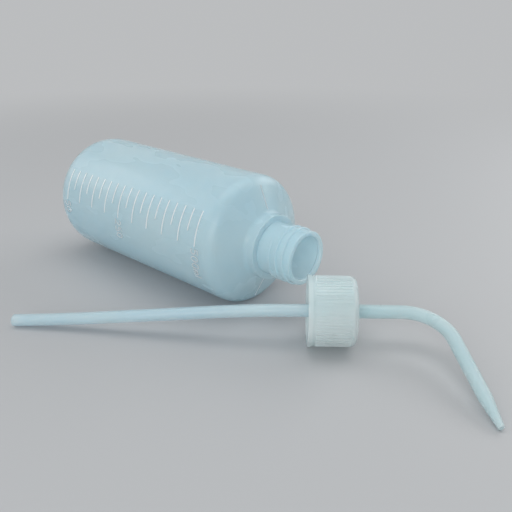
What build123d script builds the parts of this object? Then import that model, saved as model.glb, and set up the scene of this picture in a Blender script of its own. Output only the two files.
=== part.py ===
from build123d import *
import os
from math import acos, atan2, cos, degrees, hypot, pi, radians, sin, tan

# A wash bottle taken apart on a bench: the blown bottle lies on its side and the screw cap,
# with its bent spout and dip tube still in it, lies in front. Sizes are in millimetres.
# +Z is up, the bench is at Z = 0 and +X runs along the bottle's axis towards its mouth.

# Bottle
body_diameter = 71.6
body_wall = 0.9
bottle_height = 180.2
base_corner_radius = 16.0
standing_ring_width = 3.3
push_up_height = 2.5
shoulder_corner_radius = 8.0
shoulder_slope = 26.0
collar_diameter = 35.0
collar_height = 158.8
collar_root_height = 153.4
collar_fillet = 3.0
neck_diameter = 28.4
neck_bore_diameter = 25.8
mouth_bore_diameter = 23.2
lip_length = 1.8
lip_chamfer = 0.4

# Screw thread, the same on neck and cap; the blown neck shows it inside as well
thread_pitch = 4.4
thread_depth = 0.8
thread_width = 2.4
thread_flank_angle = 40.0
thread_turns = 2.7
thread_low_end = 165.6
thread_sink = 0.3
thread_fade = 0.12
thread_end_rise = 0.1
thread_sections = 17
neck_inner_thread_depth = 0.5

# Volume scale moulded on the side of the body
scale_step_volume = 25000.0
scale_lowest_height = 17.6
scale_shoulder_gap = 7.0
scale_start_angle = 52.0
short_mark_angle = 19.4
long_mark_angle = 30.7
mark_width = 0.7
mark_proud = 0.25
mark_sink = 0.2

# Screw cap, measured from its open rim
cap_length = 23.4
cap_diameter = 34.5
cap_top_thickness = 1.8
cap_corner_radius = 2.4
rim_band_diameter = 35.2
rim_band_length = 2.1
rim_groove_width = 0.6
rim_bead_width = 0.5
rib_start_gap = 0.5
rib_count = 60
rib_width = 0.9
rib_depth = 0.3
rib_end_gap = 0.5
cap_thread_clearance = 0.3
cap_thread_low_end = 5.6

# Spout
spout_root_diameter = 6.9
spout_bend_diameter = 6.6
spout_kink_diameter = 6.2
spout_tip_diameter = 2.9
spout_tip_bore_diameter = 1.5
spout_wall = 0.95
spout_rise = 22.2
spout_bend_radius = 21.7
spout_bend_angle = 81.0
spout_straight_run = 34.0
spout_tip_length = 15.8
tip_chamfer = 0.4
seal_disc_thickness = 1.4
seal_disc_clearance = 0.3
stub_diameter = 8.6
stub_length = 2.0
spigot_length = 9.0
spigot_wall = 0.8
swivel_clearance = 0.08
disc_seat_clearance = 0.1

# Dip tube
tube_diameter = 6.4
tube_wall = 0.75
tube_fit_clearance = 0.03
tube_bend_radius = 290.0
tube_straight_run = 58.0
tube_end_bend_radius = 556.0
tube_end_bend_angle = 5.0
tube_end_setback = 11.0
tube_end_slant = 12.0

# How the two halves lie on the bench
cap_axis_yaw = 40.5
mouth_behind_cap_rim = 16.6
mouth_left_of_cap_rim = 14.1

# Worked out from the sizes above
body_radius = body_diameter / 2
neck_radius = neck_diameter / 2
neck_bore_radius = neck_bore_diameter / 2
mouth_bore_radius = mouth_bore_diameter / 2
body_bore_area = pi * (body_radius - body_wall) ** 2
mark_spacing = scale_step_volume / body_bore_area
collar_width = body_radius - collar_diameter / 2
shoulder_corner_height = collar_root_height - collar_width * tan(radians(shoulder_slope))
scale_highest_height = shoulder_corner_height - scale_shoulder_gap
scale_mark_count = 1 + int((scale_highest_height - scale_lowest_height) / mark_spacing)
thread_crest_radius = neck_radius + thread_depth
rim_band_radius = rim_band_diameter / 2
rib_crest_radius = cap_diameter / 2
cap_body_radius = rib_crest_radius - rib_depth
cap_bore_radius = thread_crest_radius + cap_thread_clearance
cap_underside = cap_length - cap_top_thickness
seal_disc_radius = neck_radius + cap_thread_clearance - seal_disc_clearance
seal_disc_top = cap_underside - disc_seat_clearance
seal_disc_bottom = seal_disc_top - seal_disc_thickness
stub_end = seal_disc_bottom - stub_length
spigot_end = stub_end - spigot_length
tube_bore_radius = tube_diameter / 2 - tube_wall
spigot_radius = tube_bore_radius - tube_fit_clearance
hole_radius = spout_root_diameter / 2 + swivel_clearance
cap_axis_height = rim_band_radius

# The spout's tip rests on the bench, turned towards the front
bend_angle = radians(spout_bend_angle)
spout_fall = spout_straight_run + spout_tip_length
spout_tip_offset = spout_bend_radius * (1 - cos(bend_angle)) + spout_fall * sin(bend_angle)
spout_lean = acos((cap_axis_height - spout_tip_diameter / 2) / spout_tip_offset)
spout_roll = 180 - degrees(spout_lean)

# The dip tube's end rests on the bench too, set back: the tube bends down from the cap's rim,
# runs straight and bends back a little, and its first bend turns as far as the end needs
tube_end_drop = cap_axis_height - tube_diameter / 2
tube_end_offset = hypot(tube_end_drop, tube_end_setback)
tube_roll = 180 + degrees(atan2(tube_end_setback, tube_end_drop))
end_bend = radians(tube_end_bend_angle)
turn_in = tube_end_bend_radius * cos(end_bend) - tube_end_bend_radius - tube_bend_radius
turn_across = tube_straight_run + tube_end_bend_radius * sin(end_bend)
turn_reach = (tube_end_offset - tube_bend_radius) / hypot(turn_in, turn_across)
tube_bend = atan2(turn_across, turn_in) - acos(turn_reach)
tube_end_angle = tube_bend - end_bend
straight_start = tube_bend_radius * sin(tube_bend)
straight_drop = tube_bend_radius * (1 - cos(tube_bend))
straight_end = straight_start + tube_straight_run * cos(tube_bend)
straight_end_drop = straight_drop + tube_straight_run * sin(tube_bend)
tube_reach = straight_end + tube_end_bend_radius * (sin(tube_bend) - sin(tube_end_angle))

# The middle of the whole lies over the origin
along_cap = Vector(cos(radians(cap_axis_yaw)), sin(radians(cap_axis_yaw)), 0)
to_front = Vector(along_cap.Y, -along_cap.X, 0)
bend_start = cap_length + spout_rise
tip_reach = bend_start + spout_bend_radius * sin(bend_angle) + spout_fall * cos(bend_angle)
tip_place = along_cap * tip_reach + to_front * (spout_tip_offset * sin(spout_lean))
tube_end_place = along_cap * -tube_reach - to_front * tube_end_setback
plan_left = -mouth_left_of_cap_rim - bottle_height
plan_right = tip_place.X + spout_tip_diameter / 2
plan_front = tube_end_place.Y - tube_diameter / 2
plan_back = mouth_behind_cap_rim + body_radius
plan_middle = Vector((plan_left + plan_right) / 2, (plan_front + plan_back) / 2, 0)
rim_place = Vector(0, 0, cap_axis_height) - plan_middle
base_place = Vector(plan_left, mouth_behind_cap_rim, body_radius) - plan_middle

# Axes, and planes square to them that look along them with X upwards
bottle_direction = Vector(1, 0, 0)
bottle_axis = Axis(base_place, bottle_direction)
bottle_end = Plane(origin=base_place, x_dir=(0, 0, 1), z_dir=bottle_direction)
cap_axis = Axis(rim_place, along_cap)
cap_end = Plane(origin=rim_place, x_dir=(0, 0, 1), z_dir=along_cap)


def half_plane(end_plane, roll):
    """The plane through the axis of end_plane: X outwards at the roll angle, Y along the axis."""
    outwards = end_plane.x_dir * cos(radians(roll)) + end_plane.y_dir * sin(radians(roll))
    return Plane(origin=end_plane.origin, x_dir=outwards, z_dir=outwards.cross(end_plane.z_dir))


def bottle_section(wall, neck_outline, neck_root_rounding):
    """Half section of the bottle, inset by wall: push-up, rounded base, body, shoulder, neck."""
    radius = body_radius - wall
    slope = radians(shoulder_slope)
    push_up_radius = body_radius - base_corner_radius - standing_ring_width
    shoulder_height = shoulder_corner_height - wall * (1 / cos(slope) - tan(slope))
    root_height = shoulder_height + (radius - neck_outline[0][0]) * tan(slope)
    base_corner = (radius, wall)
    shoulder_corner = (radius, shoulder_height)
    neck_root = (neck_outline[0][0], root_height)
    with BuildSketch() as section:
        with BuildLine():
            Polyline(
                (0, push_up_height + wall),
                (push_up_radius, wall),
                base_corner,
                shoulder_corner,
                neck_root,
                *neck_outline,
                (0, bottle_height),
                close=True,
            )
        make_face()
        corners = section.vertices()
        fillet(corners.sort_by_distance(Vector(base_corner))[0], base_corner_radius - wall)
        corners = section.vertices()
        fillet(corners.sort_by_distance(Vector(shoulder_corner))[0], shoulder_corner_radius - wall)
        if neck_root_rounding:
            corners = section.vertices()
            fillet(corners.sort_by_distance(Vector(neck_root))[0], neck_root_rounding)
    return section.sketch


def thread_ridge(end_plane, low_end, root_radius, height, sink):
    """A helical ridge that fades out at both ends; a negative height makes it face inwards."""
    start = end_plane.origin + end_plane.z_dir * low_end
    side = 1 if height > 0 else -1
    crest_half = thread_width / 2 - abs(height) * tan(radians(thread_flank_angle))
    with BuildPart() as ridge:
        with BuildLine() as path:
            Helix(
                thread_pitch,
                thread_pitch * thread_turns,
                root_radius,
                center=start,
                direction=end_plane.z_dir,
            )
        for section in range(thread_sections):
            at = section / (thread_sections - 1)
            rise = min(1, thread_end_rise + min(at, 1 - at) / thread_fade)
            point = path.line @ at
            foot = start + end_plane.z_dir * (point - start).dot(end_plane.z_dir)
            outwards = (point - foot).normalized()
            face_plane = Plane(origin=point, x_dir=outwards, z_dir=path.line % at)
            root = -side * sink
            crest = root + side * rise * (sink + abs(height))
            with BuildSketch(face_plane):
                with BuildLine():
                    Polyline(
                        (root, -thread_width / 2),
                        (crest, -crest_half),
                        (crest, crest_half),
                        (root, thread_width / 2),
                        close=True,
                    )
                make_face()
        sweep(path=path.line, multisection=True, is_frenet=True)
    return ridge.part


os.makedirs("parts", exist_ok=True)

# Bottle
with BuildPart() as bottle:
    outer_neck = [
        (collar_diameter / 2, collar_height),
        (neck_radius, collar_height),
        (neck_radius, bottle_height),
    ]
    inner_neck = [
        (collar_diameter / 2 - body_wall, collar_height - body_wall),
        (neck_bore_radius, collar_height - body_wall),
        (neck_bore_radius, bottle_height - lip_length - (neck_bore_radius - mouth_bore_radius)),
        (mouth_bore_radius, bottle_height - lip_length),
        (mouth_bore_radius, bottle_height),
    ]
    with BuildSketch(half_plane(bottle_end, 0)):
        add(bottle_section(0, outer_neck, collar_fillet))
    revolve(axis=bottle_axis)
    add(thread_ridge(bottle_end, thread_low_end, neck_radius, thread_depth, thread_sink))
    with BuildSketch(half_plane(bottle_end, 0)):
        add(bottle_section(body_wall, inner_neck, 0))
    revolve(axis=bottle_axis, mode=Mode.SUBTRACT)
    add(
        thread_ridge(
            bottle_end, thread_low_end, neck_bore_radius, neck_inner_thread_depth, thread_sink
        ),
        mode=Mode.SUBTRACT,
    )
    chamfer(bottle.edges().filter_by(GeomType.CIRCLE).group_by(Axis.X)[-1], lip_chamfer)

    # Raised lines of the volume scale, every second one long
    for first_mark, mark_angle in ((0, long_mark_angle), (1, short_mark_angle)):
        with BuildSketch(half_plane(bottle_end, scale_start_angle)):
            for mark in range(first_mark, scale_mark_count, 2):
                height = scale_lowest_height + mark * mark_spacing
                with Locations((body_radius - mark_sink, height)):
                    Rectangle(mark_sink + mark_proud, mark_width, align=(Align.MIN, Align.CENTER))
        revolve(axis=bottle_axis, revolution_arc=mark_angle)
bottle.part.label = "bottle"
export_step(bottle.part, "parts/bottle.step")

# Screw cap
groove_end = rim_band_length + rim_groove_width
bead_end = groove_end + rim_bead_width
with BuildPart() as screw_cap:
    with BuildSketch(half_plane(cap_end, 0)) as cap_section:
        with BuildLine():
            Polyline(
                (cap_bore_radius, 0),
                (rim_band_radius, 0),
                (rim_band_radius, rim_band_length),
                (cap_body_radius, rim_band_length),
                (cap_body_radius, groove_end),
                (rib_crest_radius, groove_end),
                (rib_crest_radius, bead_end),
                (cap_body_radius, bead_end),
                (cap_body_radius, cap_length),
                (hole_radius, cap_length),
                (hole_radius, cap_underside),
                (cap_bore_radius, cap_underside),
                close=True,
            )
        make_face()
        top_corner = Vector(cap_body_radius, cap_length)
        fillet(cap_section.vertices().sort_by_distance(top_corner)[0], cap_corner_radius)
    revolve(axis=cap_axis)

    # Fine grip ribs between the bead and the rounded corner
    rib_start = bead_end + rib_start_gap
    rib_length = cap_length - cap_corner_radius - rib_end_gap - rib_start
    with BuildSketch(cap_end.offset(rib_start)):
        with PolarLocations(cap_body_radius - rib_depth, rib_count):
            Rectangle(2 * rib_depth, rib_width, align=(Align.MIN, Align.CENTER))
    extrude(amount=rib_length)
    add(thread_ridge(cap_end, cap_thread_low_end, cap_bore_radius, -thread_depth, thread_sink))
screw_cap.part.label = "screw_cap"
export_step(screw_cap.part, "parts/screw_cap.step")

# Spout: disc, stub and spigot under the cap top, then the tube with its bend and tapered tip
spout_half = half_plane(cap_end, spout_roll)
spout_outwards = spout_half.x_dir
bend_place = rim_place + along_cap * bend_start
bend_centre = bend_place + spout_outwards * spout_bend_radius
bend_axis = Axis(bend_centre, along_cap.cross(spout_outwards))
bend_plane = Plane(origin=bend_place, x_dir=spout_outwards, z_dir=along_cap)
fall_direction = along_cap * cos(bend_angle) + spout_outwards * sin(bend_angle)
fall_place = bend_centre + along_cap * (spout_bend_radius * sin(bend_angle))
fall_place = fall_place - spout_outwards * (spout_bend_radius * cos(bend_angle))
fall_end = Plane(origin=fall_place, x_dir=bend_axis.direction, z_dir=fall_direction)
fall_axis = Axis(fall_place, fall_direction)
root_radius = spout_root_diameter / 2
bend_radius = spout_bend_diameter / 2
kink_radius = spout_kink_diameter / 2
tip_radius = spout_tip_diameter / 2
with BuildPart() as spout:
    with BuildSketch(spout_half):
        with BuildLine():
            Polyline(
                (0, spigot_end),
                (spigot_radius, spigot_end),
                (spigot_radius, stub_end),
                (stub_diameter / 2, stub_end),
                (stub_diameter / 2, seal_disc_bottom),
                (seal_disc_radius, seal_disc_bottom),
                (seal_disc_radius, seal_disc_top),
                (root_radius, seal_disc_top),
                (root_radius, cap_length),
                (bend_radius, bend_start),
                (0, bend_start),
                close=True,
            )
        make_face()
    revolve(axis=cap_axis)
    with BuildSketch(bend_plane):
        Circle(bend_radius)
    revolve(axis=bend_axis, revolution_arc=spout_bend_angle)
    with BuildSketch(half_plane(fall_end, 0)) as fall_section:
        with BuildLine():
            Polyline(
                (0, 0),
                (bend_radius, 0),
                (kink_radius, spout_straight_run),
                (tip_radius, spout_fall),
                (0, spout_fall),
                close=True,
            )
        make_face()
        tip_corner = Vector(tip_radius, spout_fall)
        chamfer(fall_section.vertices().sort_by_distance(tip_corner)[0], tip_chamfer)
    revolve(axis=fall_axis)

    # Bore, from the spigot to the tip
    with BuildSketch(spout_half):
        with BuildLine():
            Polyline(
                (0, spigot_end),
                (spigot_radius - spigot_wall, spigot_end),
                (spigot_radius - spigot_wall, seal_disc_bottom),
                (root_radius - spout_wall, seal_disc_top),
                (bend_radius - spout_wall, bend_start),
                (0, bend_start),
                close=True,
            )
        make_face()
    revolve(axis=cap_axis, mode=Mode.SUBTRACT)
    with BuildSketch(bend_plane):
        Circle(bend_radius - spout_wall)
    revolve(axis=bend_axis, revolution_arc=spout_bend_angle, mode=Mode.SUBTRACT)
    with BuildSketch(half_plane(fall_end, 0)):
        with BuildLine():
            Polyline(
                (0, 0),
                (bend_radius - spout_wall, 0),
                (kink_radius - spout_wall, spout_straight_run),
                (spout_tip_bore_diameter / 2, spout_fall),
                (0, spout_fall),
                close=True,
            )
        make_face()
    revolve(axis=fall_axis, mode=Mode.SUBTRACT)
spout.part.label = "spout"
export_step(spout.part, "parts/spout.step")

# Dip tube: straight inside the cap, then along its two bends to a slightly slanted cut
tube_half = half_plane(cap_end, tube_roll)
tube_outwards = tube_half.x_dir
bend_turn = tube_outwards.cross(along_cap)
run_direction = tube_outwards * sin(tube_bend) - along_cap * cos(tube_bend)
run_across = tube_outwards * cos(tube_bend) + along_cap * sin(tube_bend)
run_start = rim_place + tube_outwards * straight_drop - along_cap * straight_start
run_end = rim_place + tube_outwards * straight_end_drop - along_cap * straight_end
first_bend = Axis(rim_place + tube_outwards * tube_bend_radius, bend_turn)
end_bend_axis = Axis(run_end - run_across * tube_end_bend_radius, bend_turn * -1)
tube_end = rim_place + tube_outwards * tube_end_offset - along_cap * tube_reach
end_direction = tube_outwards * sin(tube_end_angle) - along_cap * cos(tube_end_angle)
cut_direction = end_direction.rotate(Axis.Z, -tube_end_slant)
cut_overrun = degrees(tube_diameter / tube_end_bend_radius)
with BuildPart() as dip_tube:
    with BuildSketch(cap_end):
        Circle(tube_diameter / 2)
        Circle(tube_bore_radius, mode=Mode.SUBTRACT)
    extrude(amount=stub_end)
    with BuildSketch(cap_end):
        Circle(tube_diameter / 2)
        Circle(tube_bore_radius, mode=Mode.SUBTRACT)
    revolve(axis=first_bend, revolution_arc=degrees(tube_bend))
    with BuildSketch(Plane(origin=run_start, z_dir=run_direction)):
        Circle(tube_diameter / 2)
        Circle(tube_bore_radius, mode=Mode.SUBTRACT)
    extrude(amount=tube_straight_run)
    with BuildSketch(Plane(origin=run_end, z_dir=run_direction)):
        Circle(tube_diameter / 2)
        Circle(tube_bore_radius, mode=Mode.SUBTRACT)
    revolve(axis=end_bend_axis, revolution_arc=tube_end_bend_angle + cut_overrun)
    split(bisect_by=Plane(origin=tube_end, z_dir=cut_direction), keep=Keep.BOTTOM)
dip_tube.part.label = "dip_tube"
export_step(dip_tube.part, "parts/dip_tube.step")
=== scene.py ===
from math import cos, pi, radians, sin, tan

import bpy
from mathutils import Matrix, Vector


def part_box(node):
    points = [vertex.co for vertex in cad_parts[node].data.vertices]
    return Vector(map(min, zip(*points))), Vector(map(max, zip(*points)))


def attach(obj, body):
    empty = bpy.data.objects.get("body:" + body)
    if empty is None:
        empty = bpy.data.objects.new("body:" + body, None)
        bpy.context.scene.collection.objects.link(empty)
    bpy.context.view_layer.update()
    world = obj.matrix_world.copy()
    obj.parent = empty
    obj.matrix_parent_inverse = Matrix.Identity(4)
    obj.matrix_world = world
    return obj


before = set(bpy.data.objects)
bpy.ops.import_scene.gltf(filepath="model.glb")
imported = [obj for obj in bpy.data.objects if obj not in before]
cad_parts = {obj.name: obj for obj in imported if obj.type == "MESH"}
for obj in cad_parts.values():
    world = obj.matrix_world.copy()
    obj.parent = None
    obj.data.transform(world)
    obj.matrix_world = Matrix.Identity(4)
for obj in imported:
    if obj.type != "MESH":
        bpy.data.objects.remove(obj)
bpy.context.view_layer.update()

# Looks of a laboratory wash bottle, taken apart. Metres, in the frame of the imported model.

MM = 0.001

# Places taken from the frame: the bottle lies along +X, with its base at the low end
bottle_low, bottle_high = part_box("bottle")
BODY_RADIUS = (bottle_high.z - bottle_low.z) / 2
BASE_PLACE = Vector((bottle_low.x, (bottle_low.y + bottle_high.y) / 2, BODY_RADIUS))

# Camera, at the photograph's viewing angle
PHOTO_WIDTH = 512
FOCAL_PIXELS = 618.7
SENSOR_WIDTH = 36.0
CLIP_START = 0.01
CAMERA_FROM_BASE = Vector((355.9, -229.5, 125.2)) * MM
CAMERA_YAW = radians(42.53)
CAMERA_PITCH = radians(23.28)

# Numerals beside the long marks of the volume scale; heights are from the bottle's base
SCALE_LOWEST_HEIGHT = 17.6 * MM
MARK_SPACING = 6.533 * MM
NUMERALS = ((0, "50"), (8, "250"), (18, "500ml"))
NUMERAL_START_ANGLE = radians(84.6)
NUMERAL_HEIGHT = 5.0 * MM
NUMERAL_ADVANCE = 4.1 * MM
NUMERAL_STROKE_RADIUS = 0.27 * MM

# How finely curved strokes are divided, and how round a stroke is across
ARC_STEPS = 14
RING_STEPS = 28
HUMP_STEPS = 8
STROKE_ROUNDNESS = 2

# Mould seam on the shoulder, from its rounded corner to just short of the collar
SEAM_ANGLE = radians(-4.0)
SEAM_RADIUS = 0.22 * MM
SHOULDER_SLOPE = radians(26.0)
COLLAR_ROOT_HEIGHT = 153.4 * MM
COLLAR_RADIUS = 17.5 * MM
SEAM_LOW_RADIUS = 31.5 * MM
SEAM_HIGH_RADIUS = COLLAR_RADIUS + 2.0 * MM

# Plastics: the two tints that each clouds between, its roughness, the share that one face
# covers of what lies behind it, how fine its patterns are along X, Y and Z, and its bumps' height
PLASTICS = {
    "milky_bottle": {
        "pale": (0.68, 0.87, 0.96),
        "deep": (0.59, 0.81, 0.93),
        "roughness": 0.25,
        "cover": 0.6,
        "fineness": (0.35, 1, 1),
        "bump_height": 0.3 * MM,
    },
    "milky_cap": {
        "pale": (0.84, 0.94, 0.95),
        "deep": (0.76, 0.90, 0.92),
        "roughness": 0.3,
        "cover": 0.5,
        "fineness": (1, 1, 1),
        "bump_height": 0.12 * MM,
    },
    "milky_spout": {
        "pale": (0.68, 0.84, 0.87),
        "deep": (0.60, 0.79, 0.83),
        "roughness": 0.28,
        "cover": 0.6,
        "fineness": (1, 1, 1),
        "bump_height": 0.12 * MM,
    },
    "clear_tube": {
        "pale": (0.72, 0.89, 0.98),
        "deep": (0.62, 0.82, 0.95),
        "roughness": 0.18,
        "cover": 0.45,
        "fineness": (0.5, 0.5, 2),
        "bump_height": 0.1 * MM,
    },
    "pale_ridge": {
        "pale": (0.93, 0.97, 1.0),
        "deep": (0.88, 0.95, 0.99),
        "roughness": 0.35,
        "cover": 0.9,
        "fineness": (1, 1, 1),
        "bump_height": 0.05 * MM,
    },
}

# What all the plastics share; pattern scales are per metre
CLOUD_SCALE = 22
GLOSS_SCALE = 60
BUMP_SCALE = 45
NOISE_DETAIL = 2.0
NOISE_LOW = 0.3
NOISE_HIGH = 0.7
ROUGHNESS_DROP = 0.05
ROUGHNESS_RISE = 0.06
PLASTIC_IOR = 1.5
SCATTER_LENGTH = 2 * MM
BUMP_STRENGTH = 0.1

# The raised marks turn paler and denser between these distances out from the body
MARK_EDGE_INNER = 0.04 * MM
MARK_EDGE_OUTER = 0.08 * MM
MARK_COLOUR = (0.95, 0.98, 1.0)
MARK_COVER = 0.95

# Floor and surround
FLOOR_SIZE = 60
PALE_GREY = (0.5, 0.51, 0.52, 1)
FLOOR_ROUGHNESS = 0.55
FLOOR_EVEN_FROM = 0.3
FLOOR_EVEN_PAST = 0.9
WORLD_STRENGTH = 0.8

# Soft lamps: place, what they face, width and height, and power in watts
LAMPS = {
    "top_softbox": ((-0.1, 0.1, 0.9), (0, 0, 0), (0.9, 0.6), 2.6),
    "back_softbox": ((0.2, 0.9, 0.5), (0, 0, 0.03), (0.9, 0.4), 2.8),
    "front_softbox": ((0.5, -0.9, 0.45), (0, 0, 0.03), (0.9, 0.6), 4.8),
    "left_softbox": ((-0.9, -0.3, 0.5), (0, 0, 0.03), (0.5, 0.5), 1.2),
}


def node_material(name):
    """A node material with an output and a principled shader joined to it."""
    material = bpy.data.materials.new(name)
    material.use_nodes = True
    tree = material.node_tree
    tree.nodes.clear()
    output = tree.nodes.new("ShaderNodeOutputMaterial")
    shader = tree.nodes.new("ShaderNodeBsdfPrincipled")
    tree.links.new(shader.outputs["BSDF"], output.inputs["Surface"])
    return material, tree, shader, output


def noise(tree, scale, fineness):
    """A noise pattern in the object's own coordinates, finer or coarser per axis."""
    place = tree.nodes.new("ShaderNodeTexCoord")
    mapping = tree.nodes.new("ShaderNodeMapping")
    mapping.inputs["Scale"].default_value = fineness
    pattern = tree.nodes.new("ShaderNodeTexNoise")
    pattern.inputs["Scale"].default_value = scale
    pattern.inputs["Detail"].default_value = NOISE_DETAIL
    tree.links.new(place.outputs["Object"], mapping.inputs["Vector"])
    tree.links.new(mapping.outputs["Vector"], pattern.inputs["Vector"])
    return pattern.outputs["Fac"]


def mix_colours(tree, factor, low, high):
    """A colour between low and high; each is a colour or a socket."""
    mix = tree.nodes.new("ShaderNodeMix")
    mix.data_type = "RGBA"
    tree.links.new(factor, mix.inputs["Factor"])
    for name, value in (("A", low), ("B", high)):
        socket = [entry for entry in mix.inputs if entry.name == name and entry.type == "RGBA"][0]
        if isinstance(value, tuple):
            socket.default_value = (*value, 1)
        else:
            tree.links.new(value, socket)
    return [entry for entry in mix.outputs if entry.type == "RGBA"][0]


def ramp(tree, factor, low, high, low_value, high_value):
    """Maps factor from low..high to low_value..high_value, smoothly."""
    spread = tree.nodes.new("ShaderNodeMapRange")
    spread.interpolation_type = "SMOOTHSTEP"
    spread.inputs["From Min"].default_value = low
    spread.inputs["From Max"].default_value = high
    spread.inputs["To Min"].default_value = low_value
    spread.inputs["To Max"].default_value = high_value
    tree.links.new(factor, spread.inputs["Value"])
    return spread.outputs["Result"]


def milky_plastic(name):
    """Milky plastic: cloudy between two tints, with a faint uneven surface.

    Each face of a wall covers a part of what lies behind it, and the rest shows through.
    """
    look = PLASTICS[name]
    fineness = look["fineness"]
    material, tree, shader, _ = node_material(name)
    cloud = ramp(tree, noise(tree, CLOUD_SCALE, fineness), NOISE_LOW, NOISE_HIGH, 0, 1)
    colour = mix_colours(tree, cloud, look["deep"], look["pale"])
    tree.links.new(colour, shader.inputs["Base Color"])
    smoothest = look["roughness"] - ROUGHNESS_DROP
    roughest = look["roughness"] + ROUGHNESS_RISE
    uneven = noise(tree, GLOSS_SCALE, fineness)
    roughness = ramp(tree, uneven, NOISE_LOW, NOISE_HIGH, smoothest, roughest)
    tree.links.new(roughness, shader.inputs["Roughness"])
    shader.inputs["IOR"].default_value = PLASTIC_IOR
    shader.inputs["Alpha"].default_value = look["cover"]
    shader.inputs["Subsurface Weight"].default_value = 1.0
    shader.inputs["Subsurface Radius"].default_value = (1, 1, 1)
    shader.inputs["Subsurface Scale"].default_value = SCATTER_LENGTH
    bump = tree.nodes.new("ShaderNodeBump")
    bump.inputs["Strength"].default_value = BUMP_STRENGTH
    bump.inputs["Distance"].default_value = look["bump_height"]
    tree.links.new(noise(tree, BUMP_SCALE, fineness), bump.inputs["Height"])
    tree.links.new(bump.outputs["Normal"], shader.inputs["Normal"])
    return material, tree, shader, colour


def distance_from_axis(tree):
    """How far a point lies from the bottle's axis."""
    place = tree.nodes.new("ShaderNodeTexCoord")
    shift = tree.nodes.new("ShaderNodeVectorMath")
    shift.operation = "SUBTRACT"
    shift.inputs[1].default_value = BASE_PLACE
    flatten = tree.nodes.new("ShaderNodeVectorMath")
    flatten.operation = "MULTIPLY"
    flatten.inputs[1].default_value = (0, 1, 1)
    length = tree.nodes.new("ShaderNodeVectorMath")
    length.operation = "LENGTH"
    tree.links.new(place.outputs["Object"], shift.inputs[0])
    tree.links.new(shift.outputs["Vector"], flatten.inputs[0])
    tree.links.new(flatten.outputs["Vector"], length.inputs[0])
    return length.outputs["Value"]


def bottle_material():
    """The bottle's plastic, with the raised marks of its scale paler and denser than the body."""
    material, tree, shader, colour = milky_plastic("milky_bottle")
    radius = distance_from_axis(tree)
    inner = BODY_RADIUS + MARK_EDGE_INNER
    outer = BODY_RADIUS + MARK_EDGE_OUTER
    raised = ramp(tree, radius, inner, outer, 0, 1)
    marked = mix_colours(tree, raised, colour, MARK_COLOUR)
    tree.links.new(marked, shader.inputs["Base Color"])
    cover = ramp(tree, radius, inner, outer, PLASTICS["milky_bottle"]["cover"], MARK_COVER)
    tree.links.new(cover, shader.inputs["Alpha"])
    return material


def assign(node, material):
    """Gives a carried-over node its material."""
    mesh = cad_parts[node].data
    mesh.materials.clear()
    mesh.materials.append(material)


def arc(centre, size, start, end, steps=ARC_STEPS):
    """Points along part of an ellipse; angles in degrees."""
    points = []
    for step in range(steps + 1):
        angle = radians(start + (end - start) * step / steps)
        points.append((centre[0] + size[0] * cos(angle), centre[1] + size[1] * sin(angle)))
    return points


def glyph_strokes(letter):
    """Centre lines of a character, from its lower left corner; a digit is one unit tall."""
    if letter == "0":
        return [arc((0.3, 0.5), (0.29, 0.5), 0, 360, RING_STEPS)]
    if letter == "5":
        flag = [(0.56, 1.0), (0.12, 1.0), (0.06, 0.56)]
        return [flag + arc((0.28, 0.32), (0.31, 0.32), 130, -145)]
    if letter == "2":
        return [arc((0.3, 0.7), (0.28, 0.3), 165, -35) + [(0.02, 0.0), (0.6, 0.0)]]
    if letter == "m":
        first_hump = arc((0.17, 0.42), (0.15, 0.2), 180, 0, HUMP_STEPS)
        second_hump = arc((0.47, 0.42), (0.15, 0.2), 180, 0, HUMP_STEPS)
        first = [(0.02, 0.0), (0.02, 0.4)] + first_hump + [(0.32, 0.0)]
        second = [(0.32, 0.4)] + second_hump + [(0.62, 0.0)]
        return [first, second]
    return [[(0.1, 0.0), (0.1, 1.0)]]


def round_the_axis(height, radius, angle):
    """A point round the bottle's axis: height from its base, angle from up towards the front."""
    return BASE_PLACE + Vector((height, -radius * sin(angle), radius * cos(angle)))


def raised_strokes(name, strokes, thickness, material):
    """Thin round ridges along lists of points, as one curve that rides with the bottle."""
    curve = bpy.data.curves.new(name, "CURVE")
    curve.dimensions = "3D"
    curve.bevel_depth = thickness
    curve.bevel_resolution = STROKE_ROUNDNESS
    curve.use_fill_caps = True
    for points in strokes:
        spline = curve.splines.new("POLY")
        spline.points.add(len(points) - 1)
        for target, point in zip(spline.points, points):
            target.co = (*point, 1)
    curve.materials.append(material)
    piece = bpy.data.objects.new(name, curve)
    bpy.context.scene.collection.objects.link(piece)
    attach(piece, "bottle_and_cap")


def scale_numerals(material):
    """The numbers at the lower ends of three long marks, upright when the bottle stands."""
    for mark, text in NUMERALS:
        height = SCALE_LOWEST_HEIGHT + mark * MARK_SPACING
        strokes = []
        for place, letter in enumerate(text):
            for stroke in glyph_strokes(letter):
                points = []
                for across, up in stroke:
                    reach = place * NUMERAL_ADVANCE + across * NUMERAL_HEIGHT
                    angle = NUMERAL_START_ANGLE + reach / BODY_RADIUS
                    level = height + (up - 0.5) * NUMERAL_HEIGHT
                    points.append(round_the_axis(level, BODY_RADIUS, angle))
                strokes.append(points)
        raised_strokes("scale_number_" + text, strokes, NUMERAL_STROKE_RADIUS, material)


def mould_seam(material):
    """The fine parting line of the blow mould on the shoulder, on both sides of the bottle."""
    strokes = []
    for angle in (SEAM_ANGLE, SEAM_ANGLE + pi):
        points = []
        for radius in (SEAM_LOW_RADIUS, SEAM_HIGH_RADIUS):
            height = COLLAR_ROOT_HEIGHT - (radius - COLLAR_RADIUS) * tan(SHOULDER_SLOPE)
            points.append(round_the_axis(height, radius, angle))
        strokes.append(points)
    raised_strokes("mould_seam", strokes, SEAM_RADIUS, material)


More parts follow.
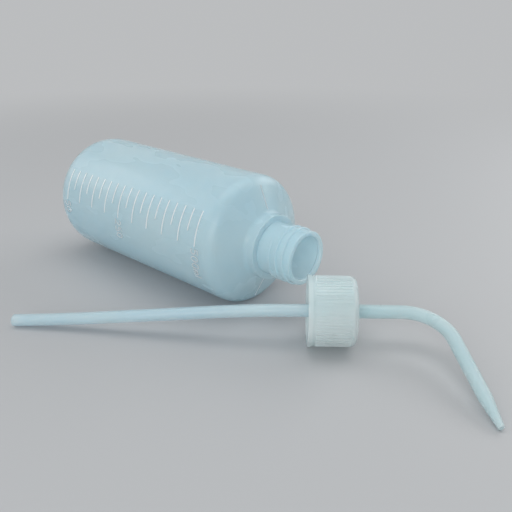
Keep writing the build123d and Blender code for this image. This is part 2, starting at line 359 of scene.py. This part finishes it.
def pale_floor():
    """A plain pale floor, lit near the object and evenly pale further out."""
    bpy.ops.mesh.primitive_plane_add(size=FLOOR_SIZE)
    floor = bpy.context.object
    floor.name = "floor"
    material, tree, shader, output = node_material("pale_floor")
    shader.inputs["Base Color"].default_value = PALE_GREY
    shader.inputs["Roughness"].default_value = FLOOR_ROUGHNESS
    glow = tree.nodes.new("ShaderNodeEmission")
    glow.inputs["Color"].default_value = PALE_GREY
    place = tree.nodes.new("ShaderNodeTexCoord")
    length = tree.nodes.new("ShaderNodeVectorMath")
    length.operation = "LENGTH"
    tree.links.new(place.outputs["Object"], length.inputs[0])
    far = ramp(tree, length.outputs["Value"], FLOOR_EVEN_FROM, FLOOR_EVEN_PAST, 0, 1)
    mix = tree.nodes.new("ShaderNodeMixShader")
    tree.links.new(far, mix.inputs["Fac"])
    tree.links.new(shader.outputs["BSDF"], mix.inputs[1])
    tree.links.new(glow.outputs["Emission"], mix.inputs[2])
    tree.links.new(mix.outputs["Shader"], output.inputs["Surface"])
    floor.data.materials.append(material)


def studio_world():
    """An even pale surround."""
    world = bpy.data.worlds.new("studio")
    world.use_nodes = True
    background = world.node_tree.nodes["Background"]
    background.inputs["Color"].default_value = PALE_GREY
    background.inputs["Strength"].default_value = WORLD_STRENGTH
    bpy.context.scene.world = world


def area_light(name, place, target, size, power):
    """A soft rectangular lamp that faces its target."""
    data = bpy.data.lights.new(name, "AREA")
    data.shape = "RECTANGLE"
    data.size, data.size_y = size
    data.energy = power
    lamp = bpy.data.objects.new(name, data)
    lamp.location = place
    lamp.rotation_euler = (Vector(target) - Vector(place)).to_track_quat("-Z", "Y").to_euler()
    bpy.context.scene.collection.objects.link(lamp)


def photo_camera():
    """The camera where the photograph was taken from."""
    data = bpy.data.cameras.new("photo_camera")
    data.sensor_width = SENSOR_WIDTH
    data.lens = FOCAL_PIXELS / PHOTO_WIDTH * SENSOR_WIDTH
    data.clip_start = CLIP_START
    camera = bpy.data.objects.new("photo_camera", data)
    camera.location = BASE_PLACE + CAMERA_FROM_BASE
    camera.rotation_euler = (pi / 2 - CAMERA_PITCH, 0, CAMERA_YAW)
    bpy.context.scene.collection.objects.link(camera)
    bpy.context.scene.camera = camera


assign("bottle", bottle_material())
assign("screw_cap", milky_plastic("milky_cap")[0])
assign("spout", milky_plastic("milky_spout")[0])
assign("dip_tube", milky_plastic("clear_tube")[0])

pale_ridge = milky_plastic("pale_ridge")[0]
scale_numerals(pale_ridge)
mould_seam(pale_ridge)

pale_floor()
studio_world()
for name, (place, target, size, power) in LAMPS.items():
    area_light(name, place, target, size, power)
photo_camera()

bpy.context.scene.view_settings.view_transform = "Standard"
